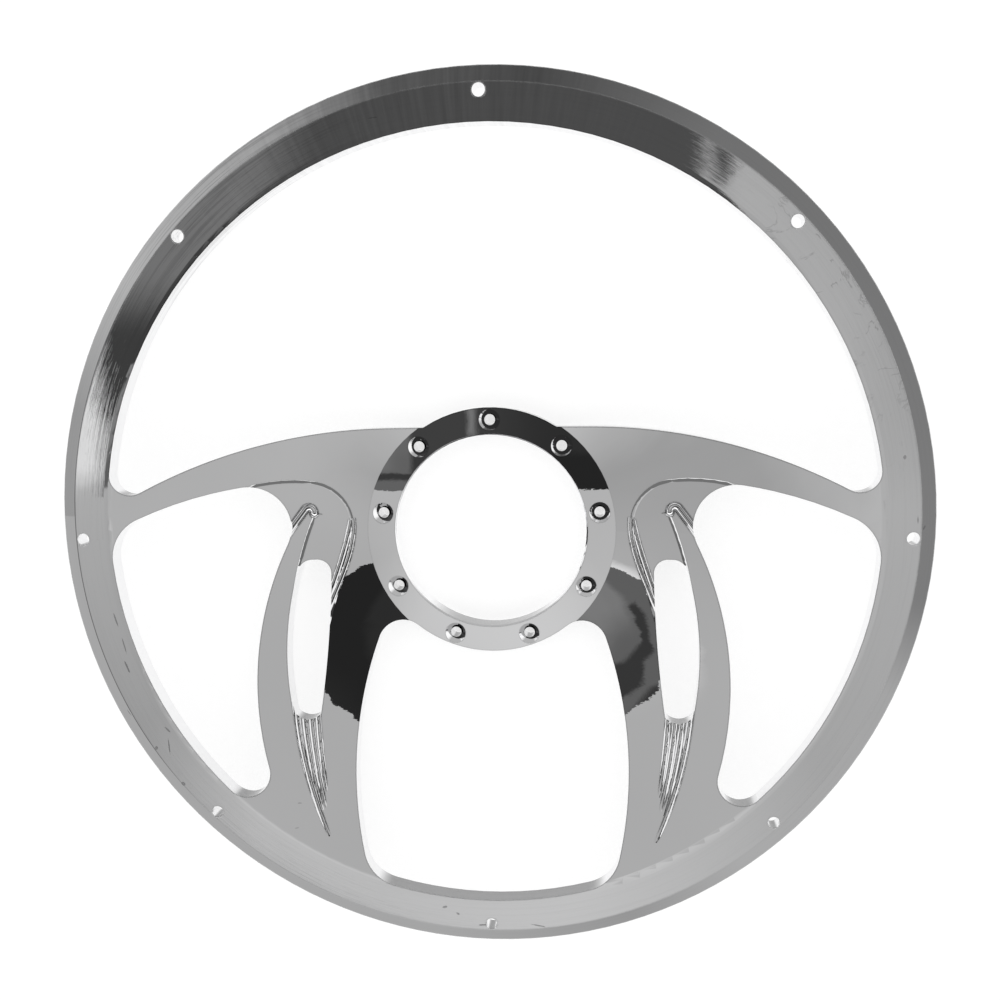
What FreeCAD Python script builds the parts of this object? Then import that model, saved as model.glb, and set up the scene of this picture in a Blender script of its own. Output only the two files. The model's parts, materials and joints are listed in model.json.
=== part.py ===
import FreeCAD, Part
import math
import os
from FreeCAD import Vector

# Body of the wheel, millimetres. Z = 0 is the back of the hub and +Z faces the driver.
wheel_d = 355.6             # over the rim
rim_bevel_width = 6.8       # from the wheel's outside in to the flat rim face
rim_bevel_drop = 5.0        # how far the outer bevel falls from the rim face
rim_face_width = 14.0       # in to the edge of the dish
rim_thickness = 9.0
back_land_width = 4.0       # flat of the rim's back inside the edge of the dish
dish_blend_r = 16.0         # hollow between rim face and dish
dish_depth = 22.6           # hub face below the rim face
hub_face_d = 105.0          # flat face of the hub
hub_thickness = 11.5
bore_d = 80.6
edge_bevel = 0.5            # bore and the outside of the rim

# Holes
rim_hole_d = 5.0
rim_hole_inset = 2.9        # from the outer edge of the rim face to the holes' centres
rim_hole_count = 8
hub_hole_d = 4.5
hub_sink_d = 8.6            # mouth of the 90 degree countersink
hub_hole_count = 9

# Openings, seen from the front with the wheel's top up. Each outline is a chain of round arcs
# given by centre and radius. The left half is written and the right half is its mirror image.
hub_edge_width = 1.0        # dish left round the hub face by the top and middle openings
spoke_crest = (-42.9, 43.4) # highest point of the spoke's upper edge
spoke_top_r = 218.3
spoke_root_r = 7.7          # corner between spoke and rim
hub_root_r = 1.5            # corner between spoke and hub

side_opening_inset = 0.5    # from the edge of the dish
side_upper_centre = (-79.8, -140.3)
side_upper_r = 162.0
blade_outer_centre = (36.2, -65.8)
blade_outer_r = 136.5
side_rim_corner_r = 18.0
side_inner_corner_r = 17.0
side_lower_corner_r = 9.6

leg_inner_centre = (110.7, -102.4)
leg_inner_r = 169.4
middle_upper_corner_r = 10.5
middle_lower_corner_r = 18.0

slot_left_centre = (40.8, -52.7)
slot_left_r = 128.3
slot_right_centre = (-568.1, -3.4)
slot_right_r = 499.9
slot_top_y = -11.2
slot_top_corner_r = 5.9
slot_end_y = -77.0
slot_end_mid = (-79.5, -79.8)

# Shallow pocket above the slot, milled with a ball cutter that leaves a soft step
pocket_depth = 0.5
pocket_ball_r = 2.6
pocket_shoulder_centre = (-76.8, 3.2)
pocket_shoulder_r = 19.1
pocket_upper_r = 68.8
pocket_join_angle = 83.0    # where the shoulder's curve changes to the flatter upper one
pocket_start_angle = 110.0
blade_inner_centre = (53.5, -48.3)
blade_inner_r = 139.5
pocket_wall_lean = 16.0     # degrees from upright, beside the flutes
pocket_end_y = -42.0        # inside the slot
strip_top_y = 8.0           # level with the blade's tip

# Groove that runs in from the side opening and hooks round the tip of the blade
tip_groove_r = 1.9
tip_groove_depth = 2.1
tip_end_r = 2.0             # a little wider where the cutter stops
tip_hook_centre = (-76.4, 8.9)
tip_hook_r = 2.1
tip_hook_turn = 150.0       # degrees
tip_run_lean = 51.0         # the straight run's direction, degrees from level
tip_run_length = 17.0

# Flutes beside the slot
wall_flute_r = 1.4
wall_flute_depth = 1.05
wall_flutes = (
    ((-59.4, 5.2), (-60.6, 0.0), (-67.0, -20.0), (-73.0, -38.0)),
    ((-58.6, 6.0), (-58.7, 0.0), (-64.6, -20.0), (-73.0, -46.0)),
)

# Tail of the pocket below the slot: a tapering scoop with flutes that fan into the slot
tail_outer_centre = (70.4, -60.9)
tail_outer_r = 156.7
tail_inner_centre = (266.9, -62.8)
tail_inner_r = 340.6
tail_top_y = -74.0
tail_tip_gap = 7.6          # from the tip to the edge of the dish
tail_scoop_depth = 1.6      # at the outer edge of the scoop, beside the slot
tail_run_out = 0.08         # height above the face at which the scoop's floor ends
tail_flute_r = 1.5
tail_flute_depth = 0.66     # below the floor of the scoop, beside the slot
tail_flute_rise = 0.06      # height above that floor at which a flute ends
tail_flute_ease = 3         # the higher, the later a flute rises
tail_flute_ends = (-1.0, 12.5, 13.5, 20.5)  # above the tail's tip
tail_steps = 4              # spans between the points that each curve is drawn through

# Values worked out from the sizes above
rim_r = wheel_d / 2
rim_face_r = rim_r - rim_bevel_width
dish_edge_r = rim_face_r - rim_face_width
hub_face_r = hub_face_d / 2
hub_edge_r = hub_face_r - hub_edge_width
bore_r = bore_d / 2
rim_hole_circle_r = rim_face_r - rim_hole_inset
hub_hole_circle_r = (bore_r + hub_face_r) / 2
side_opening_r = dish_edge_r - side_opening_inset
spoke_top_centre = (spoke_crest[0], spoke_crest[1] - spoke_top_r)
strip_width = 2 * pocket_ball_r
rim_face_z = hub_thickness + dish_depth
rim_back_z = rim_face_z - rim_thickness
dish_slope = dish_depth / (dish_edge_r - hub_face_r)
below = -10.0
tall = rim_face_z + 30.0


def flat(point):
    """A plan point at the height where the opening prisms start."""
    return Vector(point[0], point[1], below)


def mirrored(point):
    return (-point[0], point[1])


def face_z(radius):
    """Height of the front face at a distance from the wheel's axis."""
    if radius <= hub_face_r:
        return hub_thickness
    if radius >= dish_edge_r:
        return rim_face_z
    return hub_thickness + (radius - hub_face_r) * dish_slope


def on_face(point, lift):
    """A plan point raised to the front face and then by lift."""
    return Vector(point[0], point[1], face_z(math.hypot(*point)) + lift)


def on_circle(centre, radius, y, side):
    """The plan point of a circle at height y, on its left (-1) or right (+1) side."""
    return (centre[0] + side * math.sqrt(radius ** 2 - (y - centre[1]) ** 2), y)


def at_angle(centre, radius, degrees):
    angle = math.radians(degrees)
    return (centre[0] + radius * math.cos(angle), centre[1] + radius * math.sin(angle))


def crossing(centre_a, radius_a, centre_b, radius_b, near):
    """The crossing of two circles that lies nearer to a given plan point."""
    dx = centre_b[0] - centre_a[0]
    dy = centre_b[1] - centre_a[1]
    gap = math.hypot(dx, dy)
    along = (radius_a ** 2 - radius_b ** 2 + gap ** 2) / (2 * gap)
    across = math.sqrt(radius_a ** 2 - along ** 2)
    foot = (centre_a[0] + along * dx / gap, centre_a[1] + along * dy / gap)
    both = [(foot[0] - s * across * dy / gap, foot[1] + s * across * dx / gap) for s in (-1, 1)]
    return min(both, key=lambda p: math.hypot(p[0] - near[0], p[1] - near[1]))


def arc(start, end, centre, radius):
    """The shorter arc of a circle between two of its points."""
    mx = (start[0] + end[0]) / 2 - centre[0]
    my = (start[1] + end[1]) / 2 - centre[1]
    size = math.hypot(mx, my)
    middle = (centre[0] + radius * mx / size, centre[1] + radius * my / size)
    return arc_through(start, middle, end)


def arc_through(start, middle, end):
    return Part.Arc(flat(start), flat(middle), flat(end)).toShape()


def line(start, end):
    return Part.makeLine(flat(start), flat(end))


def smooth_curve(points):
    curve = Part.BSplineCurve()
    curve.interpolate(points)
    return curve.toShape()


def prism(edges):
    """A tall solid standing on a closed chain of plan edges."""
    return Part.Face(Part.Wire(edges)).extrude(Vector(0, 0, tall - below))


def round_corners(solid, corners, radius):
    """Rounds the upright edges of a prism that stand at the given plan points."""
    edges = []
    for edge in solid.Edges:
        a, b = edge.Vertexes[0].Point, edge.Vertexes[-1].Point
        upright = abs(a.z - b.z) > 1.0
        if upright and any(math.hypot(a.x - c[0], a.y - c[1]) < 0.01 for c in corners):
            edges.append(edge)
    return solid.makeFillet(radius, edges)


def floor_edges(solid, spans):
    """Edges of a prism's lowest face that run between the given pairs of plan points."""
    found = []
    for edge in min(solid.Faces, key=lambda f: f.CenterOfMass.z).Edges:
        ends = [v.Point for v in edge.Vertexes]
        for span in spans:
            gaps = [min(math.hypot(e.x - p[0], e.y - p[1]) for p in span) for e in ends]
            if max(gaps) < 0.01:
                found.append(edge)
    return found


def in_both_halves(cutter):
    return [cutter, cutter.mirror(Vector(0, 0, 0), Vector(1, 0, 0))]


def ball_groove(points, radius):
    """The space swept by a ball cutter along a smooth path."""
    path = smooth_curve(points).Curve
    sections = []
    for point in points:
        heading = path.tangent(path.parameter(point))[0]
        sections.append(Part.Wire([Part.makeCircle(radius, point, heading)]))
    return Part.makeLoft(sections, True)


def turned(corners):
    """A body turned about the wheel's axis, from (radius, height, rounding) for each corner."""
    count = len(corners)
    bends = []
    for i, (radius, height, rounding) in enumerate(corners):
        here = Vector(radius, 0, height)
        arms = []
        for j in (i - 1, (i + 1) % count):
            arms.append((Vector(corners[j][0], 0, corners[j][1]) - here).normalize())
        half = arms[0].getAngle(arms[1]) / 2
        reach = rounding / math.tan(half)
        inward = (arms[0] + arms[1]).normalize() * (rounding / math.sin(half) - rounding)
        bends.append((here + arms[0] * reach, here + inward, here + arms[1] * reach))
    edges = []
    for i, (start, middle, end) in enumerate(bends):
        if corners[i][2] > 0:
            edges.append(Part.Arc(start, middle, end).toShape())
        edges.append(Part.makeLine(end, bends[(i + 1) % count][0]))
    return Part.Face(Part.Wire(edges)).revolve(Vector(0, 0, 0), Vector(0, 0, 1), 360)


def make_blank():
    """The turned blank: flat hub, conical dish and flat rim with a bevelled outer edge."""
    bevel = edge_bevel
    shoulder_z = rim_face_z - rim_bevel_drop
    return turned([
        (bore_r + bevel, 0.0, 0.0),
        (hub_face_r, 0.0, 0.0),
        (dish_edge_r - back_land_width, rim_back_z, 0.0),
        (rim_r - bevel, rim_back_z, 0.0),
        (rim_r, rim_back_z + bevel, 0.0),
        (rim_r, shoulder_z, 0.0),
        (rim_face_r, rim_face_z, 0.0),
        (dish_edge_r, rim_face_z, dish_blend_r),
        (hub_face_r, hub_thickness, 0.0),
        (bore_r + bevel, hub_thickness, 0.0),
        (bore_r, hub_thickness - bevel, 0.0),
        (bore_r, bevel, 0.0),
    ])


def top_opening():
    """Between the rim, the upper edges of both side spokes and the top of the hub."""
    corner = crossing((0, 0), dish_edge_r, spoke_top_centre, spoke_top_r, (-dish_edge_r, 0))
    root = on_circle((0, 0), hub_edge_r, spoke_crest[1], -1)
    edges = [
        arc_through(corner, (0, dish_edge_r), mirrored(corner)),
        arc(mirrored(corner), mirrored(spoke_crest), mirrored(spoke_top_centre), spoke_top_r),
        line(mirrored(spoke_crest), mirrored(root)),
        arc_through(mirrored(root), (0, hub_edge_r), root),
        line(root, spoke_crest),
        arc(spoke_crest, corner, spoke_top_centre, spoke_top_r),
    ]
    opening = prism(edges)
    opening = round_corners(opening, (corner, mirrored(corner)), spoke_root_r)
    return round_corners(opening, (root, mirrored(root)), hub_root_r)


def side_opening():
    """Between the rim, the lower edge of the left side spoke and the blade."""
    radius = side_opening_r
    rim_corner = crossing((0, 0), radius, side_upper_centre, side_upper_r, (-radius, 0))
    inner_corner = crossing(side_upper_centre, side_upper_r, blade_outer_centre, blade_outer_r,
                            tip_hook_centre)
    lower_corner = crossing((0, 0), radius, blade_outer_centre, blade_outer_r, (-radius, -radius))
    edges = [
        arc(rim_corner, inner_corner, side_upper_centre, side_upper_r),
        arc(inner_corner, lower_corner, blade_outer_centre, blade_outer_r),
        arc(lower_corner, rim_corner, (0, 0), radius),
    ]
    opening = prism(edges)
    opening = round_corners(opening, (rim_corner,), side_rim_corner_r)
    opening = round_corners(opening, (inner_corner,), side_inner_corner_r)
    return round_corners(opening, (lower_corner,), side_lower_corner_r)


def middle_opening():
    """Between the two legs, the bottom of the hub and the bottom of the rim."""
    radius = dish_edge_r
    hub_r = hub_edge_r
    upper = crossing((0, 0), hub_r, leg_inner_centre, leg_inner_r, (-hub_r, -hub_r))
    lower = crossing((0, 0), radius, leg_inner_centre, leg_inner_r, (-hub_r, -radius))
    edges = [
        arc(upper, lower, leg_inner_centre, leg_inner_r),
        arc_through(lower, (0, -radius), mirrored(lower)),
        arc(mirrored(lower), mirrored(upper), mirrored(leg_inner_centre), leg_inner_r),
        arc_through(mirrored(upper), (0, -hub_r), upper),
    ]
    opening = prism(edges)
    opening = round_corners(opening, (upper, mirrored(upper)), middle_upper_corner_r)
    return round_corners(opening, (lower, mirrored(lower)), middle_lower_corner_r)


def slot():
    """The long through slot between blade and leg."""
    left_top = on_circle(slot_left_centre, slot_left_r, slot_top_y, -1)
    left_end = on_circle(slot_left_centre, slot_left_r, slot_end_y, -1)
    right_top = on_circle(slot_right_centre, slot_right_r, slot_top_y, 1)
    right_end = on_circle(slot_right_centre, slot_right_r, slot_end_y, 1)
    edges = [
        arc(left_top, left_end, slot_left_centre, slot_left_r),
        arc_through(left_end, slot_end_mid, right_end),
        arc(right_end, right_top, slot_right_centre, slot_right_r),
        line(right_top, left_top),
    ]
    return round_corners(prism(edges), (left_top, right_top), slot_top_corner_r)


def above_face(depth):
    """All the space over the dish, down to a depth below its face."""
    return turned([
        (0.0, hub_thickness - depth, 0.0),
        (hub_face_r, hub_thickness - depth, 0.0),
        (dish_edge_r, rim_face_z - depth, 0.0),
        (dish_edge_r, tall, 0.0),
        (0.0, tall, 0.0),
    ])


def tip_points():
    """Plan points of the tip groove: its start, and the start and end of its hook."""
    hook_start = at_angle(tip_hook_centre, tip_hook_r, tip_run_lean + 90)
    hook_end = at_angle(tip_hook_centre, tip_hook_r, tip_run_lean + 90 - tip_hook_turn)
    run_start = at_angle(hook_start, tip_run_length, tip_run_lean + 180)
    return run_start, hook_start, hook_end


def soft_pocket(edges, soft_spans):
    """A part of the pocket, with the ball's radius left along some of its sides."""
    solid = prism(edges).common(above_face(pocket_depth))
    return solid.makeFillet(pocket_ball_r, floor_edges(solid, soft_spans))


def pocket():
    """The shallow pocket above the slot, its floor parallel to the dish, and the strip of it
    that runs along the blade."""
    # the ball's flank meets the face this far inside the line that its full radius would reach
    inset = pocket_ball_r - math.sqrt(pocket_depth * (2 * pocket_ball_r - pocket_depth))
    shoulder_r = pocket_shoulder_r + inset
    upper_r = pocket_upper_r + inset
    blade_r = blade_inner_r + inset
    strip_r = blade_r - strip_width
    join = at_angle(pocket_shoulder_centre, shoulder_r, pocket_join_angle)
    upper_centre = at_angle(join, upper_r, pocket_join_angle + 180)
    start = at_angle(upper_centre, upper_r, pocket_start_angle)
    wall_top = at_angle(pocket_shoulder_centre, shoulder_r, -pocket_wall_lean)
    run = wall_top[1] - pocket_end_y
    wall_foot = (wall_top[0] - run * math.tan(math.radians(pocket_wall_lean)), pocket_end_y)
    run_start, hook_start, hook_end = tip_points()
    strip_ends = []
    for radius in (blade_r, strip_r, strip_r + pocket_ball_r / 2):
        for y in (pocket_end_y, strip_top_y):
            strip_ends.append(on_circle(blade_inner_centre, radius, y, -1))
    blade_low, blade_high, strip_low, strip_high, lap_low, lap_high = strip_ends
    main_part = [
        arc(start, join, upper_centre, upper_r),
        arc(join, wall_top, pocket_shoulder_centre, shoulder_r),
        line(wall_top, wall_foot),
        line(wall_foot, lap_low),
        arc(lap_low, lap_high, blade_inner_centre, strip_r + pocket_ball_r / 2),
        line(lap_high, hook_end),
        arc(hook_end, hook_start, tip_hook_centre, tip_hook_r),
        line(hook_start, run_start),
        line(run_start, start),
    ]
    strip = [
        arc(blade_low, blade_high, blade_inner_centre, blade_r),
        line(blade_high, strip_high),
        arc(strip_high, strip_low, blade_inner_centre, strip_r),
        line(strip_low, blade_low),
    ]
    main_soft = ((start, join), (join, wall_top), (wall_top, wall_foot))
    return [soft_pocket(main_part, main_soft), soft_pocket(strip, ((blade_low, blade_high),))]


def tail_side(y, centre, radius):
    return centre[0] - math.sqrt(radius ** 2 - (y - centre[1]) ** 2)


def tail_tip_y():
    """Height of the tail's tip on the plan, where its outer edge nears the edge of the dish."""
    reach = dish_edge_r - tail_tip_gap
    return crossing((0, 0), reach, tail_outer_centre, tail_outer_r, (-hub_face_r, -reach))[1]


def tail_floor(y, share):
    """A point of the scoop's floor; share runs from 0 at its outer edge to 1 at its inner edge."""
    left = tail_side(y, tail_outer_centre, tail_outer_r)
    right = tail_side(y, tail_inner_centre, tail_inner_r)
    down = (tail_top_y - y) / (tail_top_y - tail_tip_y())
    sunk = (tail_scoop_depth + tail_run_out) * (1 - down) * (1 - share)
    return on_face((left + share * (right - left), y), tail_run_out - sunk)


def tail_scoop():
    """Deepest along its outer edge, it runs out to the face at its inner edge and its tip."""
    step = (tail_tip_y() - tail_top_y) / tail_steps
    run = [tail_top_y + i * step for i in range(tail_steps + 1)]
    outer = smooth_curve([tail_floor(y, 0.0) for y in run])
    inner = smooth_curve([tail_floor(y, 1.0) for y in run])
    return Part.makeRuledSurface(outer, inner).extrude(Vector(0, 0, tall))


def tail_flute(share, end_y):
    """One flute of the tail, running out of the scoop's floor at its lower end."""
    points = []
    for i in range(tail_steps + 1):
        done = i / tail_steps
        point = tail_floor(tail_top_y + done * (end_y - tail_top_y), share)
        rise = (tail_flute_depth + tail_flute_rise) * done ** tail_flute_ease
        point.z += tail_flute_r - tail_flute_depth + rise
        points.append(point)
    return ball_groove(points, tail_flute_r)


def wall_flute(path):
    return ball_groove([on_face(p, wall_flute_r - wall_flute_depth) for p in path], wall_flute_r)


def tip_groove():
    """A straight run, a hook and the round end that the ball cutter leaves."""
    reach = math.hypot(*tip_hook_centre)
    across = Vector(tip_hook_centre[0] / reach, tip_hook_centre[1] / reach, 0)
    upright = (Vector(0, 0, 1) - across * dish_slope).normalize()
    heading = Vector(*at_angle((0, 0), 1, tip_run_lean), 0)
    along = (heading - upright * heading.dot(upright)).normalize()
    aside = upright.cross(along)
    pivot = on_face(tip_hook_centre, tip_groove_r - tip_groove_depth)
    hook_start = pivot + aside * tip_hook_r
    last = math.radians(90 - tip_hook_turn)
    hook_end = pivot + (along * math.cos(last) + aside * math.sin(last)) * tip_hook_r
    section = Part.Face(Part.Wire([Part.makeCircle(tip_groove_r, hook_start, along)]))
    run = section.extrude(along * -tip_run_length)
    hook = section.revolve(pivot, upright, -tip_hook_turn)
    return [run, hook, Part.makeSphere(tip_end_r, hook_end)]


def carving():
    """Everything cut into the front of the left half, largest first."""
    cutters = pocket() + [tail_scoop()] + tip_groove()
    cutters += [wall_flute(path) for path in wall_flutes]
    count = len(tail_flute_ends)
    for i, end in enumerate(tail_flute_ends):
        cutters.append(tail_flute((i + 0.5) / count, tail_tip_y() + end))
    return cutters


def hole_places(count, circle_r):
    """Points on a hole circle, the first at the wheel's top."""
    places = []
    for i in range(count):
        angle = math.radians(90 - 360 * i / count)
        places.append((circle_r * math.cos(angle), circle_r * math.sin(angle)))
    return places


def hole(place, diameter):
    return Part.makeCylinder(diameter / 2, tall - below, flat(place))


def countersink(place):
    depth = (hub_sink_d - hub_hole_d) / 2
    foot = Vector(place[0], place[1], hub_thickness - depth)
    return Part.makeCone(hub_hole_d / 2, hub_sink_d / 2 + depth, 2 * depth, foot)


def make_wheel():
    wheel = make_blank()
    openings = [top_opening(), middle_opening()] + in_both_halves(side_opening())
    for opening in openings:
        wheel = wheel.cut(opening)
    cutters = [hole(p, rim_hole_d) for p in hole_places(rim_hole_count, rim_hole_circle_r)]
    for place in hole_places(hub_hole_count, hub_hole_circle_r):
        cutters.append(hole(place, hub_hole_d).fuse(countersink(place)))
    for cutter in [slot()] + carving():
        cutters += in_both_halves(cutter)
    return wheel.cut(cutters)


os.makedirs("parts", exist_ok=True)
wheel = make_wheel()
print("solids", len(wheel.Solids), "valid", wheel.isValid(), "volume", round(wheel.Volume))
wheel.exportStep("parts/wheel_frame.step")
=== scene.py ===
import bpy
import bmesh
import json
import math
from mathutils import Matrix, Vector

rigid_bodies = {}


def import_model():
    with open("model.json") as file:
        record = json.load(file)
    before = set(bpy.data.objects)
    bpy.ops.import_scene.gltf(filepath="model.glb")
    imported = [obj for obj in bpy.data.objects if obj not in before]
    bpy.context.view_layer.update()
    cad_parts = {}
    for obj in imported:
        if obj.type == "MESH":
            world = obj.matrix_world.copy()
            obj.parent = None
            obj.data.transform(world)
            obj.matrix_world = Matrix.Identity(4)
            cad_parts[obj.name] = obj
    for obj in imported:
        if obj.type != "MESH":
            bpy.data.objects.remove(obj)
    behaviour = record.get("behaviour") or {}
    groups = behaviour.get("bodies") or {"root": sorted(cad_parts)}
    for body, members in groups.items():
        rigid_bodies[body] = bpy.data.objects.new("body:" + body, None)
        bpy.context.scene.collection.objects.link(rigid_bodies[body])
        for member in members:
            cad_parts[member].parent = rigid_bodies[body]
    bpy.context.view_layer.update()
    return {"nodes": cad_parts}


for leftover in list(bpy.data.objects):
    bpy.data.objects.remove(leftover)
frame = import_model()
print("frame loaded")


class Wire:
    # one output of a shader tree, usable in sums
    def __init__(self, tree, socket=None):
        self.tree = tree
        self.socket = socket

    def node(self, kind, settings=None, inputs=None, output=0):
        made = self.tree.nodes.new(kind)
        for name, value in (settings or {}).items():
            setattr(made, name, value)
        for name, value in (inputs or {}).items():
            if isinstance(value, Wire):
                self.tree.links.new(value.socket, made.inputs[name])
            else:
                made.inputs[name].default_value = value
        return Wire(self.tree, made.outputs[output])

    def sums(self, operation, *values):
        return self.node("ShaderNodeMath", {"operation": operation}, dict(enumerate(values)))

    def __add__(self, other):
        return self.sums("ADD", self, other)

    def __sub__(self, other):
        return self.sums("SUBTRACT", self, other)

    def __rsub__(self, other):
        return self.sums("SUBTRACT", other, self)

    def __mul__(self, other):
        return self.sums("MULTIPLY", self, other)

    def __truediv__(self, other):
        return self.sums("DIVIDE", self, other)

    def __pow__(self, other):
        return self.sums("POWER", self, other)

    __radd__ = __add__
    __rmul__ = __mul__

    def most(self, other):
        return self.sums("MAXIMUM", self, other)

    def angle(self, x):
        # this wire is y
        return self.sums("ARCTAN2", self, x)

    def fade(self, start, end):
        # 0 before start, 1 after end
        return self.node("ShaderNodeMapRange", {"interpolation_type": "SMOOTHSTEP"},
                         {"Value": self, "From Min": start, "From Max": end})

    def near(self, place, reach):
        # 1 at a value, 0 further off than reach
        offset = self - place
        return offset.sums("ABSOLUTE", offset).fade(reach, 0.0)

    def dot(self, other):
        return self.node("ShaderNodeVectorMath", {"operation": "DOT_PRODUCT"}, {0: self, 1: other}, output=1)

    def blend(self, other, share):
        # two directions, 4 and 5 are the Mix node's vector inputs
        mixed = self.node("ShaderNodeMix", {"data_type": "VECTOR"}, {0: share, 4: self, 5: other}, output=1)
        return self.node("ShaderNodeVectorMath", {"operation": "NORMALIZE"}, {0: mixed})

    def noise(self, settings):
        return self.node("ShaderNodeTexNoise", None, {"Vector": self, **settings})

    def ramp(self, stops):
        # tones at places from 0 to 1
        made = self.node("ShaderNodeValToRGB", None, {"Fac": self})
        elements = made.socket.node.color_ramp.elements
        for place, tone in stops:
            elements.new(place).color = (tone, tone, tone, 1)
        for spare in (elements[-1], elements[0]):
            elements.remove(spare)
        return made


def newMaterial(name):
    material = bpy.data.materials.new(name)
    material.use_nodes = True
    material.node_tree.nodes.clear()
    return material, Wire(material.node_tree)


def finishMaterial(sheet, shader):
    end = sheet.tree.nodes.new("ShaderNodeOutputMaterial")
    sheet.tree.links.new(shader.socket, end.inputs["Surface"])


def coordinates(sheet):
    place = sheet.node("ShaderNodeTexCoord", output="Object")
    split = sheet.tree.nodes.new("ShaderNodeSeparateXYZ")
    sheet.tree.links.new(place.socket, split.inputs[0])
    return place, [Wire(sheet.tree, part) for part in split.outputs]


# camera, at the photo's angle
cameraPlace = {
    "turn": (0.228, -0.091, 0.003),        # rotation vector, radians
    "reach": (-0.035, -0.266, 2.891),      # wheel centre from the lens, in units
    "unit": 0.1681,                        # metres
    "faceHeight": 0.0341,                  # rim face over the floor
    "sensorWidth": 36,
    "focal": 1.205,                        # picture widths
    "shiftY": 0.15,
    "clipStart": 0.01,
}


def addCamera(values):
    turnVector = Vector(values["turn"])
    turn = Matrix.Rotation(turnVector.length, 3, turnVector.normalized())
    flip = Matrix(((1, 0, 0), (0, -1, 0), (0, 0, -1)))
    look = flip @ turn
    centre = -(look.transposed() @ Vector(values["reach"])) * values["unit"]
    data = bpy.data.cameras.new("camera")
    data.sensor_width = values["sensorWidth"]
    data.lens = values["sensorWidth"] * values["focal"]
    data.shift_y = values["shiftY"]
    data.clip_start = values["clipStart"]
    camera = bpy.data.objects.new("camera", data)
    camera.matrix_world = (flip @ look).transposed().to_4x4()
    camera.location = centre + Vector((0, 0, values["faceHeight"]))
    bpy.context.scene.collection.objects.link(camera)
    bpy.context.scene.camera = camera


addCamera(cameraPlace)
print("camera placed")


# the wheel: mirror polish inside, satin with turning marks and wear on the rim
wheelFinish = {
    "tone": 0.80,
    "hubTone": 0.87,
    "blueShare": 1.006,
    "cloudTone": 0.05,
    "wearAndShadeTone": 0.7,                # how much wear and the painted wall shade darken
    "hubEdge": 0.0525,              # radii in metres
    "hubFade": 0.0002,
    "satinStart": 0.1562,
    "satinFull": 0.1572,
    "bevelStart": 0.171,
    "bevelFade": 0.0005,
    "polish": 0.008,                # roughness
    "satin": 0.03,
    "satinVaries": 0.05,
    "markRough": 0.2,
    "veinRough": 0.1,
    "scoreFade": (0.48, 0.62),      # turning marks that stand out
    "scoreTone": 0.03,
    "scoreUpperLeft": 0.35,
    "wipeTone": 0.9,
    "veinFade": (0.5, 0.022),       # thin lines where the noise crosses its middle
    "veinPatches": (0.5, 0.6),
    "veinTone": 0.35,
}
wheelEdges = {
    "round": 0.0009,                # metres
    "samples": 2,
    "lineFade": (0.995, 0.95),      # painted dark line, a painted reflection, where the rounded edge turns off the face
    "lineInside": (0.166, 0.165),
    "lineOnFaces": (0.93, 0.96),    # steepest face that has it
    "edgeLineShadeTone": 0.6,
    "upperEdgeShade": 0.5,               # painted shade, stronger on upper edges
    "roundOutside": (0.165, 0.166),
    "leftEdgeLineHalf": 0.0004,             # painted dark reflection line on the edge before the bevel, at the left
    "leftEdgeLineSpan": (-0.125, -0.15),
    "leftEdgeLineTone": 0.7,
    "wallFade": 0.3,
    # painted light: walls of the openings are painted paler
    "wallPaintedLight": 0.1,
    "paintedUpWallShade": (0.72, 0.96),         # painted shade on walls that face the top of the picture
    "paintedUpWallShadeTone": 0.95,
}
# parts of the rim: direction in degrees and reach in radians
rimZones = {"upperLeft": (128, 0.5), "upperRight": (35, 0.55), "top": (100, 0.7)}
turnedScale = {"around": 3.0, "across": 900.0}
wipedScale = {"around": 70.0, "across": 20.0}
noises = {
    "turning": {"Scale": 1.0, "Detail": 4.0, "Roughness": 0.7},
    "wiping": {"Scale": 1.0, "Detail": 3.0},
    "blotches": {"Scale": 55.0, "Detail": 5.0, "Distortion": 1.2},
    "patches": {"Scale": 130.0, "Detail": 2.0},
    "cloud": {"Scale": 14.0, "Detail": 2.0},
    "waves": {"Scale": 45.0, "Detail": 2.0},
    "grain": {"Scale": 600.0, "Detail": 2.0},
    "ragged": {"Scale": 900.0, "Detail": 2.0},
}
bumpHeights = {"waves": 0.00003, "grain": 0.0000012, "turning": 0.000012, "marks": 0.00002}
# wear marks in millimetres: place, half length, direction in degrees, half width, depth of tone
wearMarks = (
    (-157.2, -34.0, 3.2, 105, 0.35, 0.5), (-154.5, -45.0, 3.6, 102, 0.3, 0.5), (-154.0, -54.5, 3.4, 110, 0.4, 0.6),
    (-155.1, -74.8, 1.8, 120, 0.5, 0.6), (-138.4, -89.6, 3.8, 93, 0.35, 0.55), (-138.5, -82.0, 1.8, 135, 0.4, 0.5),
    (-144.2, -90.4, 1.0, 60, 0.8, 0.5), (-133.4, -106.5, 1.2, 130, 0.9, 0.45), (-20.3, -160.8, 1.1, 20, 0.6, 0.5),
    (-14.6, -163.9, 0.9, 150, 0.5, 0.45), (-3.8, -168.8, 2.0, 5, 0.4, 0.5), (20.5, -168.4, 3.2, 170, 0.35, 0.5),
    (163.0, 31.6, 0.9, 80, 0.7, 0.5), (169.4, 7.3, 1.6, 95, 0.35, 0.45), (172.2, 4.2, 1.1, 60, 0.5, 0.5),
    (-83.0, -115.4, 1.2, 0, 0.4, 0.35), (-84.4, -126.1, 1.0, 10, 0.4, 0.3), (-40.0, 159.5, 2.2, 6, 0.3, 0.4),
)
wearEdge = {"ragged": 1.6, "fade": (1.1, 0.3)}
millimetre = 0.001


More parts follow.
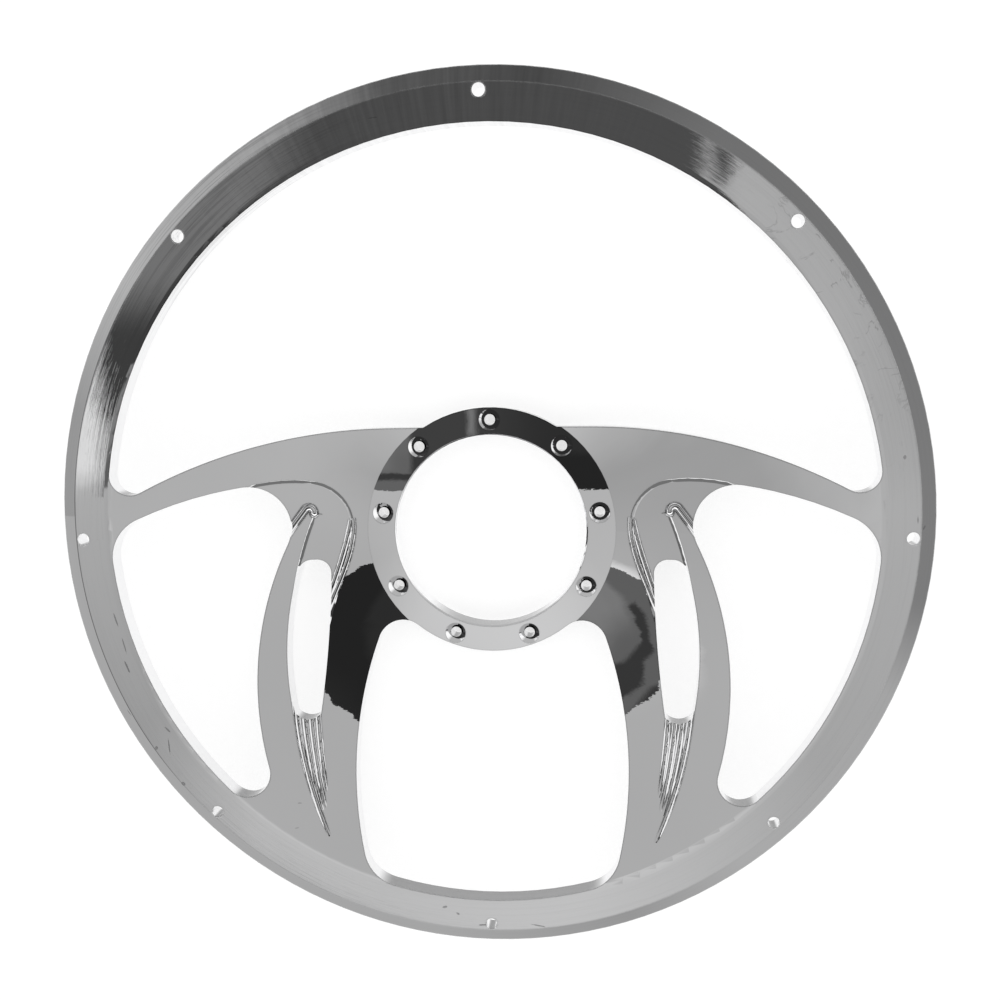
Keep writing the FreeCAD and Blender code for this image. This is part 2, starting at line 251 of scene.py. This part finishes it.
def wear(x, y, ragged, marks, edge):
    worn = None
    for markX, markY, half, degrees, width, depth in marks:
        turn = math.radians(degrees)
        right = x - markX * millimetre
        up = y - markY * millimetre
        along = right * math.cos(turn) + up * math.sin(turn)
        across = up * math.cos(turn) - right * math.sin(turn)
        spread = along * along * (1 / half ** 2) + across * across * (1 / width ** 2)
        spread = spread * (1 / millimetre ** 2)
        mark = (spread + (ragged - 0.5) * edge["ragged"]).fade(*edge["fade"]) * depth
        worn = mark if worn is None else worn.most(mark)
    return worn


def polishedAluminium(values, edgeValues):
    material, sheet = newMaterial("polishedAluminium")
    place, (x, y, z) = coordinates(sheet)
    radius = (x * x + y * y) ** 0.5
    angle = y.angle(x)
    satin = radius.fade(values["satinStart"], values["satinFull"])
    bevel = radius.fade(values["bevelStart"], values["bevelStart"] + values["bevelFade"])
    hub = radius.fade(values["hubEdge"], values["hubEdge"] - values["hubFade"])
    zones = {name: angle.near(math.radians(degrees), reach) for name, (degrees, reach) in rimZones.items()}

    # painted dark lines along the edges, and painted light and shade on the walls
    normal = sheet.node("ShaderNodeNewGeometry", output="Normal")
    rounded = sheet.node("ShaderNodeBevel", {"samples": edgeValues["samples"]}, {"Radius": edgeValues["round"]})
    rise = normal.dot((0, 0, 1))
    # painted reflection: the tone is darkened in a thin line along sharp edges
    paintedEdgeLines = rounded.dot(normal).fade(*edgeValues["lineFade"])
    paintedEdgeLines = paintedEdgeLines * radius.fade(*edgeValues["lineInside"]) * rise.fade(*edgeValues["lineOnFaces"])
    paintedEdgeLines = paintedEdgeLines * (edgeValues["edgeLineShadeTone"] + rounded.dot((0, 1, 0)) * edgeValues["upperEdgeShade"])
    # painted reflection: a dark line on the edge before the bevel, on the left side only
    paintedLeftEdgeLine = radius.near(values["bevelStart"], edgeValues["leftEdgeLineHalf"]) * x.fade(*edgeValues["leftEdgeLineSpan"])
    wall = rise.near(0.0, edgeValues["wallFade"])
    # painted shade: walls that face the top of the picture are darkened
    paintedUpWallShade = wall * normal.dot((0, 1, 0)).fade(*edgeValues["paintedUpWallShade"])

    # turning marks run round the rim, wiping marks across it
    around = sheet.node("ShaderNodeCombineXYZ", None, {
        "X": angle * turnedScale["around"], "Y": radius * turnedScale["across"], "Z": z * turnedScale["across"]})
    acrossRim = sheet.node("ShaderNodeCombineXYZ", None, {
        "X": angle * wipedScale["around"], "Y": radius * wipedScale["across"]})
    turning = around.noise(noises["turning"])
    wiping = acrossRim.noise(noises["wiping"])
    blotches, patches, cloud, waves, grain, ragged = (
        place.noise(noises[name]) for name in ("blotches", "patches", "cloud", "waves", "grain", "ragged"))
    marks = wear(x, y, ragged, wearMarks, wearEdge)
    veins = blotches.near(*values["veinFade"]) * patches.fade(*values["veinPatches"])
    veins = veins * zones["upperRight"] * satin * (1 - bevel)
    scored = turning.fade(*values["scoreFade"]) * satin
    scored = scored * (values["scoreTone"] + zones["upperLeft"] * values["scoreUpperLeft"])
    wiped = satin * zones["top"] * (wiping - 0.5) * values["wipeTone"]

    # real wear marks together with the painted shade on walls facing the top of the picture
    wearAndPaintedShade = scored + veins * values["veinTone"] + marks + wiped + paintedUpWallShade * edgeValues["paintedUpWallShadeTone"]
    # painted light: the walls of the openings are lifted in tone
    shade = values["tone"] + hub * (values["hubTone"] - values["tone"]) + wall * edgeValues["wallPaintedLight"]
    shade = shade + (cloud - 0.5) * values["cloudTone"]
    # the painted edge lines and the painted left edge line darken the colour here
    shade = shade * (1 - wearAndPaintedShade * values["wearAndShadeTone"]) * (1 - paintedEdgeLines) * (1 - paintedLeftEdgeLine * edgeValues["leftEdgeLineTone"])
    colour = sheet.node("ShaderNodeCombineColor", None, {
        "Red": shade, "Green": shade, "Blue": shade * values["blueShare"]})
    rough = values["satin"] - values["polish"] + (turning - 0.5) * values["satinVaries"]
    rough = values["polish"] + satin * rough + marks * values["markRough"] + veins * values["veinRough"]
    height = waves * bumpHeights["waves"] + grain * bumpHeights["grain"]
    height = height + satin * turning * bumpHeights["turning"] - marks * bumpHeights["marks"]
    facing = normal.blend(rounded, radius.fade(*edgeValues["roundOutside"]))        # only the rim's own edge
    bump = sheet.node("ShaderNodeBump", None, {
        "Strength": 1.0, "Distance": 1.0, "Height": height, "Normal": facing})
    finishMaterial(sheet, sheet.node("ShaderNodeBsdfPrincipled", None, {
        "Base Color": colour, "Metallic": 1.0, "Roughness": rough, "Normal": bump}))
    return material


wheelNode = frame["nodes"]["wheel_frame"]
wheelMaterial = polishedAluminium(wheelFinish, wheelEdges)
for slotIndex in range(len(wheelNode.data.materials)):
    wheelNode.data.materials[slotIndex] = wheelMaterial
print("wheel finished")


# studio: pale floor, banded dome, a dark card over the wheel and a low grey ring round it
def stageObject(name, build, material):
    mesh = bpy.data.meshes.new(name)
    build.to_mesh(mesh)
    build.free()
    mesh.materials.append(material)
    made = bpy.data.objects.new(name, mesh)
    bpy.context.scene.collection.objects.link(made)
    return made


def flatPlate(name, plate, material):
    build = bmesh.new()
    bmesh.ops.create_grid(build, x_segments=1, y_segments=1, size=0.5)
    bmesh.ops.scale(build, verts=build.verts, vec=(
        plate["right"] - plate["left"], plate["high"] - plate["low"], 1))
    bmesh.ops.translate(build, verts=build.verts, vec=(
        (plate["left"] + plate["right"]) / 2, (plate["low"] + plate["high"]) / 2, plate["height"]))
    return stageObject(name, build, material)


def onlyInReflections(made):
    made.visible_camera = False
    made.visible_diffuse = False
    made.visible_shadow = False
    made.visible_transmission = False


def toneMaterial(name, pattern):
    material, sheet = newMaterial(name)
    x, y, z = coordinates(sheet)[1]
    finishMaterial(sheet, sheet.node("ShaderNodeEmission", None, {"Strength": pattern(x, y, z)}))
    return material


def roundTones(x, y, tones):
    # tones by degrees from the right, counterclockwise
    share = y.angle(x) / (2 * math.pi) + 0.5
    return share.ramp(sorted((((degrees + 180) % 360) / 360, tone) for degrees, tone in tones))


floor = {
    "left": -3.0, "right": 3.0, "low": -3.0, "high": 3.0,
    "height": -0.0005,
    "tone": 0.42,
    "lift": 0.66,               # added light for camera and mirrors
}


def floorMaterial(values):
    material, sheet = newMaterial("paleFloor")
    tone = values["tone"]
    paths = sheet.tree.nodes.new("ShaderNodeLightPath")
    cameraRay, glossyRay, clearRay = (
        Wire(sheet.tree, paths.outputs[name]) for name in ("Is Camera Ray", "Is Glossy Ray", "Is Transmission Ray"))
    lift = cameraRay.most(glossyRay).most(clearRay) * values["lift"]
    matt = sheet.node("ShaderNodeBsdfDiffuse", None, {"Color": (tone, tone, tone, 1)})
    glow = sheet.node("ShaderNodeEmission", None, {"Color": (1, 1, 1, 1), "Strength": lift})
    finishMaterial(sheet, sheet.node("ShaderNodeAddShader", None, {0: matt, 1: glow}))
    return material


flatPlate("floor", floor, floorMaterial(floor))

# dome: grey ceiling, a shoulder round it, a dark gap and white walls; heights are shares of the radius
dome = {
    "radius": 2.9,
    "segments": (64, 32),
    "ceiling": 0.5,
    "ceilingLow": ((0.0, -0.6), 0.16),          # paler towards the bottom of the picture
    "spot": (248, 74, 4, 9),                    # azimuth, elevation, inner and outer reach in degrees
    "spotTone": 0.12,
    "shoulder": ((10, 0.36), (45, 0.33), (120, 0.4), (174, 0.8), (188, 0.86), (189, 0.5), (216, 0.41), (232, 0.6),
                 (268, 0.66), (302, 0.46), (340, 0.5)),
    "shoulderBelow": (0.975, 0.95),
    "gap": ((0, 0.05), (120, 0.05), (180, 0.05), (210, 0.2), (330, 0.2)),
    "gapBelow": (0.87, 0.83),
    "whiteTop": ((10, 0.71), (170, 0.71), (215, 0.48), (325, 0.48)),
    "whiteFade": (0.02, -0.02),
    "white": 1.15,
    "low": ((0, 1.15), (25, 1.1), (50, 0.5), (130, 0.5), (155, 1.1), (205, 1.1), (235, 0.5), (305, 0.5), (335, 1.1)),
    "lowBelow": (0.42, 0.36),
    "lamps": ((60, 45, 5, 16), (95, 45, 5, 16), (130, 45, 5, 16)),
    "lampTone": 1.3,
}


def domeTones(x, y, z):
    x, y, z = (part / dome["radius"] for part in (x, y, z))

    def patch(azimuth, elevation, inner, outer):
        azimuth, elevation, inner, outer = (math.radians(turn) for turn in (azimuth, elevation, inner, outer))
        flat = math.cos(elevation)
        facing = x * (flat * math.cos(azimuth)) + y * (flat * math.sin(azimuth)) + z * math.sin(elevation)
        return facing.fade(math.cos(outer), math.cos(inner))

    lowSpan, lowTone = dome["ceilingLow"]
    tone = dome["ceiling"] + y.fade(*lowSpan) * lowTone + patch(*dome["spot"]) * dome["spotTone"]
    for band in ("shoulder", "gap"):
        tone = tone + (roundTones(x, y, dome[band]) - tone) * z.fade(*dome[band + "Below"])
    aboveWalls = z - roundTones(x, y, dome["whiteTop"])
    tone = tone + (dome["white"] - tone) * aboveWalls.fade(*dome["whiteFade"])
    tone = tone + (roundTones(x, y, dome["low"]) - tone) * z.fade(*dome["lowBelow"])
    for lamp in dome["lamps"]:
        tone = tone + patch(*lamp) * dome["lampTone"]
    return tone


domeShell = bmesh.new()
bmesh.ops.create_uvsphere(domeShell, u_segments=dome["segments"][0], v_segments=dome["segments"][1],
                          radius=dome["radius"])
onlyInReflections(stageObject("dome", domeShell, toneMaterial("domeTones", domeTones)))

# grey ring, seen in the rim's bevel: darkest at the top, paler at the upper left and the lower right
ring = {
    "radius": 0.30,
    "height": 0.055,
    "segments": 96,
    "tones": ((0, 0.25), (60, 0.2), (85, 0.08), (105, 0.12), (122, 0.42), (148, 0.56), (166, 0.38),
              (200, 0.47), (260, 0.47), (287, 0.38), (304, 0.5), (335, 0.46), (348, 0.25)),
}


def ringTones(x, y, z):
    return roundTones(x, y, ring["tones"])


ringBand = bmesh.new()
bmesh.ops.create_cone(ringBand, cap_ends=False, segments=ring["segments"], radius1=ring["radius"],
                      radius2=ring["radius"], depth=ring["height"])
bmesh.ops.translate(ringBand, verts=ringBand.verts, vec=(0, 0, ring["height"] / 2))
onlyInReflections(stageObject("greyRing", ringBand, toneMaterial("ringTones", ringTones)))

# dark card, seen in hub, legs and the rim's top; each fade is in metres along x or y
card = {
    "left": -0.42, "right": 0.152, "low": -0.044, "high": 0.38,
    "height": 0.65,
    "dark": 0.055,
    "rightX": (-0.10, 0.0), "rightTone": 0.025,                 # darker at the right
    "lowY": (-0.005, -0.015), "lowTone": 0.01,                  # and along the lower edge
    "bandY": (-0.032, -0.036), "bandX": (-0.098, -0.106),       # pale left end with a dark curl in it
    "bulgeX": (-0.135, -0.143), "bulgeY": (-0.029, -0.026),
    "endX": (-0.176, -0.18),
    "paleY": (0.03, 0.02), "paleTone": 0.09,
    "palerX": (-0.145, -0.19), "palerY": (-0.03, -0.02), "palerTone": 0.09,
    "streak": (-0.08, 0.008), "streakY": (0.0, 0.012), "streakTone": 0.14,
    "far": 0.085,                                               # upper part, seen in the rim
    "farY": (0.10, 0.16),
    "farLeftX": (-0.2, -0.28), "farLeftTone": 0.12,
    "farStreak": (0.131, 0.008), "farStreakTone": 0.35,
    "cornerX": (0.099, 0.101), "cornerY": (0.225, 0.215),       # lower right corner, as bright as the ceiling
    "cornerTone": 0.46,
}


def cardTones(x, y, z):
    dark = card["dark"] - x.fade(*card["rightX"]) * card["rightTone"] - y.fade(*card["lowY"]) * card["lowTone"]
    band = y.fade(*card["bandY"]) * x.fade(*card["bandX"])
    bulge = x.fade(*card["bulgeX"]) * y.fade(*card["bulgeY"])
    pale = band.most(bulge).most(x.fade(*card["endX"])) * y.fade(*card["paleY"])
    pale = pale * (card["paleTone"] + x.fade(*card["palerX"]) * y.fade(*card["palerY"]) * card["palerTone"])
    streak = x.near(*card["streak"]) * y.fade(*card["streakY"]) * card["streakTone"]
    tone = dark + pale + streak
    far = card["far"] + x.fade(*card["farLeftX"]) * card["farLeftTone"]
    far = far + x.near(*card["farStreak"]) * card["farStreakTone"]
    tone = tone + (far - tone) * y.fade(*card["farY"])
    return tone + (card["cornerTone"] - tone) * (x.fade(*card["cornerX"]) * y.fade(*card["cornerY"]))


onlyInReflections(flatPlate("darkCard", card, toneMaterial("cardTones", cardTones)))

world = bpy.data.worlds.new("surround")
bpy.context.scene.world = world
world.use_nodes = True
background = world.node_tree.nodes["Background"]
background.inputs["Color"].default_value = (1, 1, 1, 1)
background.inputs["Strength"].default_value = 1.0
bpy.context.scene.view_settings.view_transform = "Standard"
print("studio built")
